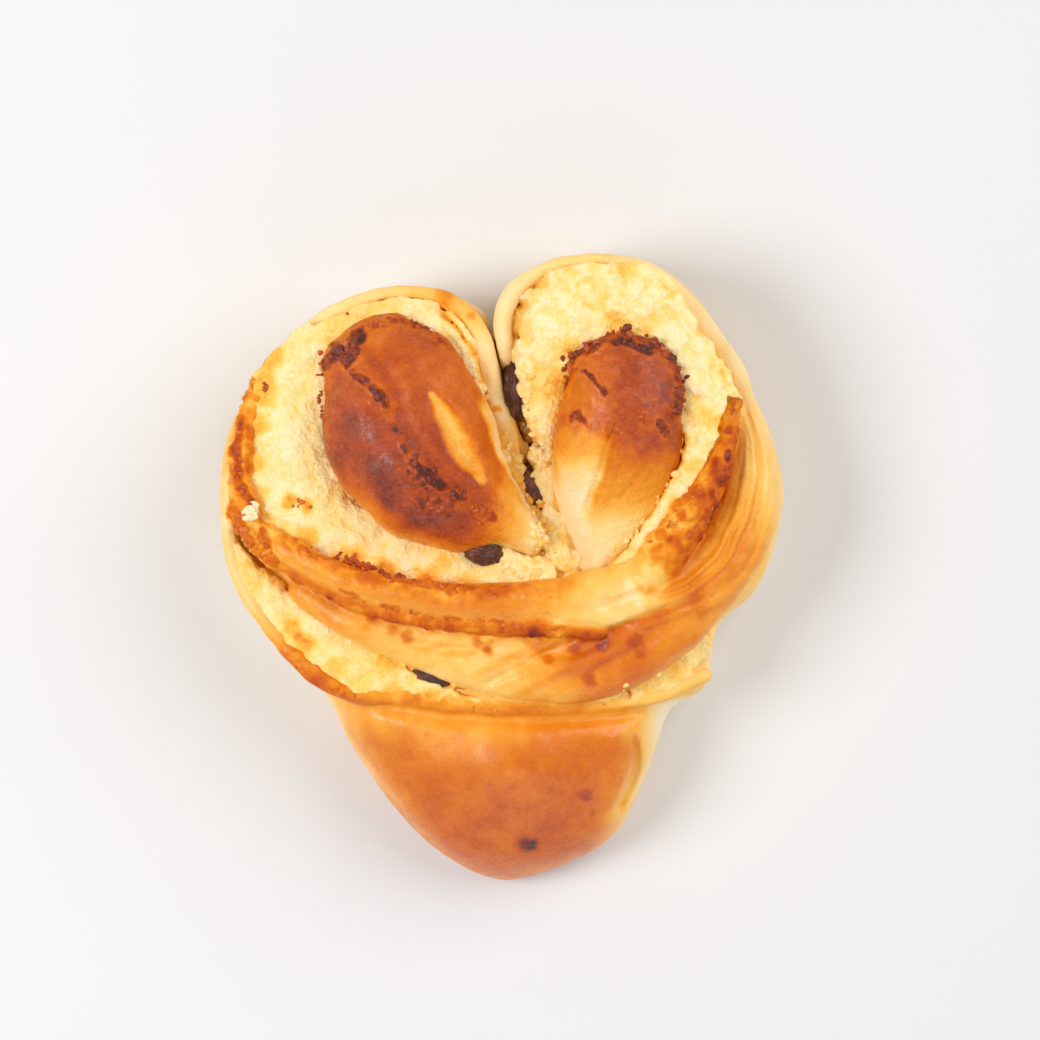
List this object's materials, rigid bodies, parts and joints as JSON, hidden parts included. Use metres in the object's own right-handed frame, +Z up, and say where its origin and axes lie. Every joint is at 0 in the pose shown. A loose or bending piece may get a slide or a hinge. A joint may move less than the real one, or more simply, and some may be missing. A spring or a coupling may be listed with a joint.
{
  "type": "coconut bun",
  "caption": "Heart-shaped sweet bun with turned-out lobes of rolled dough, crumbly coconut layers, raisins, a twisted belt and a glazed tip.",
  "frame": {"origin": "centre of the bun's plan on its flat underside", "axes": "+Y from the tip of the heart towards its two lobes, +X to the right with the lobes away from the viewer, +Z up"},
  "size_m": [0.1204, 0.1343, 0.0469],
  "materials": {
    "crust": "baked sweet dough, golden to red-brown, egg-washed and slightly glossy",
    "coconut": "pale yellow coconut filling, crumbly and matt, browned at its edges",
    "raisin": "dark brown wrinkled raisin, softly shining"
  },
  "bodies": {
    "root": {"dough": "crust", "filling_left": "coconut", "filling_right": "coconut", "filling_outer": "coconut", "raisin_cleft": "raisin", "raisin_heart": "raisin", "raisin_left": "raisin", "raisin_belt": "raisin"}
  },
  "joints": []
}
